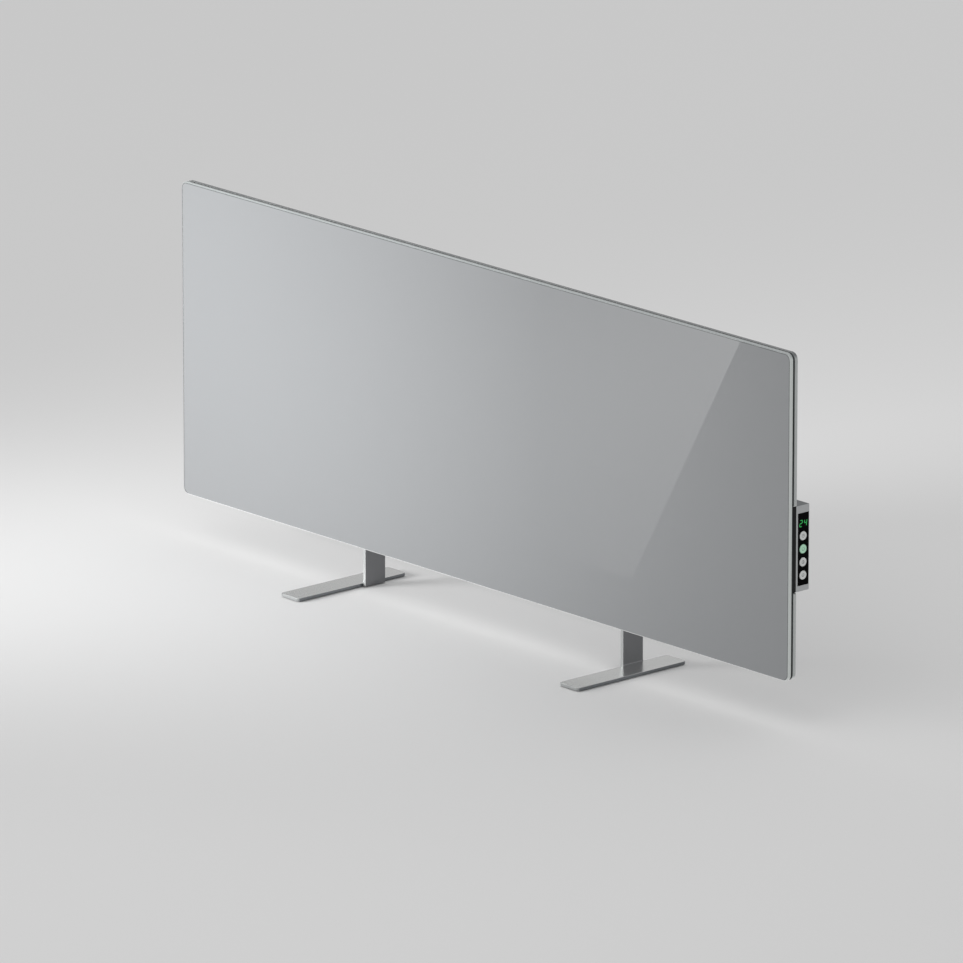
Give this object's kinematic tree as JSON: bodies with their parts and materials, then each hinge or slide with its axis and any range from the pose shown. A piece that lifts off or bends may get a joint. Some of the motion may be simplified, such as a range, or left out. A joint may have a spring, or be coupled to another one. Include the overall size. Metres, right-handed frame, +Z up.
{
  "type": "infrared panel heater",
  "caption": "Slim free-standing glass panel heater on two flat steel feet, with a push-button control box behind its right edge.",
  "frame": {"origin": "on the floor, under the middle of the panel's width and thickness and of the feet", "axes": "+X along the panel's width towards the control box, +Y from the front glass towards the back, +Z up"},
  "size_m": [1.1, 0.175, 0.458],
  "materials": {
    "front_glass": "back-painted grey, polished face and bevel",
    "rear_glass": "back-painted grey, ground edge",
    "seal": "matt silicone",
    "insulation": "needled mineral mat",
    "film": "polyimide film",
    "carbon": "printed carbon",
    "copper": "bare copper strip",
    "satin_steel": "satin nickel",
    "aluminium": "milled",
    "housing_metal": "fine blasted, grey anodised",
    "black_plastic": "fine texture",
    "fascia_black": "piano black",
    "button": "fine matt",
    "button_lit": "translucent, lit from behind",
    "switch_black": "moulded",
    "plunger_grey": "moulded",
    "circuit_board": "solder mask",
    "rubber": "matt",
    "zinc": "bright zinc",
    "relay_case": "moulded",
    "ferrite": "sintered",
    "terminal": "moulded",
    "capacitor_sleeve": "shrink sleeve",
    "lead_sleeve": "silicone sleeve",
    "fuse_body": "glazed tube"
  },
  "bodies": {
    "heater": {"front_glass": "front_glass", "rear_glass": "rear_glass", "perimeter_seal": "seal", "insulation_mat": "insulation", "heating_film": "film", "heating_element": "carbon", "busbar_lower": "copper", "busbar_upper": "copper", "left_foot_plate": "satin_steel", "left_foot_pad": "rubber", "left_upright": "satin_steel", "left_bracket": "satin_steel", "left_mounting_block": "aluminium", "left_screw_lower": "zinc", "left_screw_upper": "zinc", "right_foot_plate": "satin_steel", "right_foot_pad": "rubber", "right_upright": "satin_steel", "right_bracket": "satin_steel", "right_mounting_block": "aluminium", "right_screw_lower": "zinc", "right_screw_upper": "zinc", "control_base": "black_plastic", "control_housing": "housing_metal", "housing_screw_1": "zinc", "housing_screw_2": "zinc", "housing_screw_3": "zinc", "housing_screw_4": "zinc", "control_fascia": "fascia_black", "display_module": "switch_black", "tact_switch_timer": "switch_black", "tact_switch_power": "switch_black", "tact_switch_warmer": "switch_black", "tact_switch_cooler": "switch_black", "control_board": "circuit_board", "control_board_screw_lower": "zinc", "control_board_screw_upper": "zinc", "power_board": "circuit_board", "power_board_screw_lower": "zinc", "power_board_screw_upper": "zinc", "power_relay": "relay_case", "tilt_switch": "black_plastic", "transformer": "ferrite", "smoothing_capacitor": "capacitor_sleeve", "fuse": "fuse_body", "terminal_block": "terminal", "cord_gland": "black_plastic", "gland_nut": "black_plastic", "room_temperature_sensor": "black_plastic", "overheat_cutout": "black_plastic", "heater_lead_lower": "lead_sleeve", "heater_lead_upper": "lead_sleeve"},
    "timer_button": {"button_timer": "button", "switch_plunger_timer": "plunger_grey"},
    "power_button": {"button_power": "button_lit", "switch_plunger_power": "plunger_grey"},
    "warmer_button": {"button_warmer": "button", "switch_plunger_warmer": "plunger_grey"},
    "cooler_button": {"button_cooler": "button", "switch_plunger_cooler": "plunger_grey"}
  },
  "joints": [
    {"name": "press_timer", "type": "slide", "parent": "heater", "child": "timer_button", "axis": [-1, 0, 0], "range_m": [0, 0.0005], "stiffness_N_per_m": 3000, "springref_m": -0.0001},
    {"name": "press_power", "type": "slide", "parent": "heater", "child": "power_button", "axis": [-1, 0, 0], "range_m": [0, 0.0005], "stiffness_N_per_m": 3000, "springref_m": -0.0001},
    {"name": "press_warmer", "type": "slide", "parent": "heater", "child": "warmer_button", "axis": [-1, 0, 0], "range_m": [0, 0.0005], "stiffness_N_per_m": 3000, "springref_m": -0.0001},
    {"name": "press_cooler", "type": "slide", "parent": "heater", "child": "cooler_button", "axis": [-1, 0, 0], "range_m": [0, 0.0005], "stiffness_N_per_m": 3000, "springref_m": -0.0001}
  ]
}
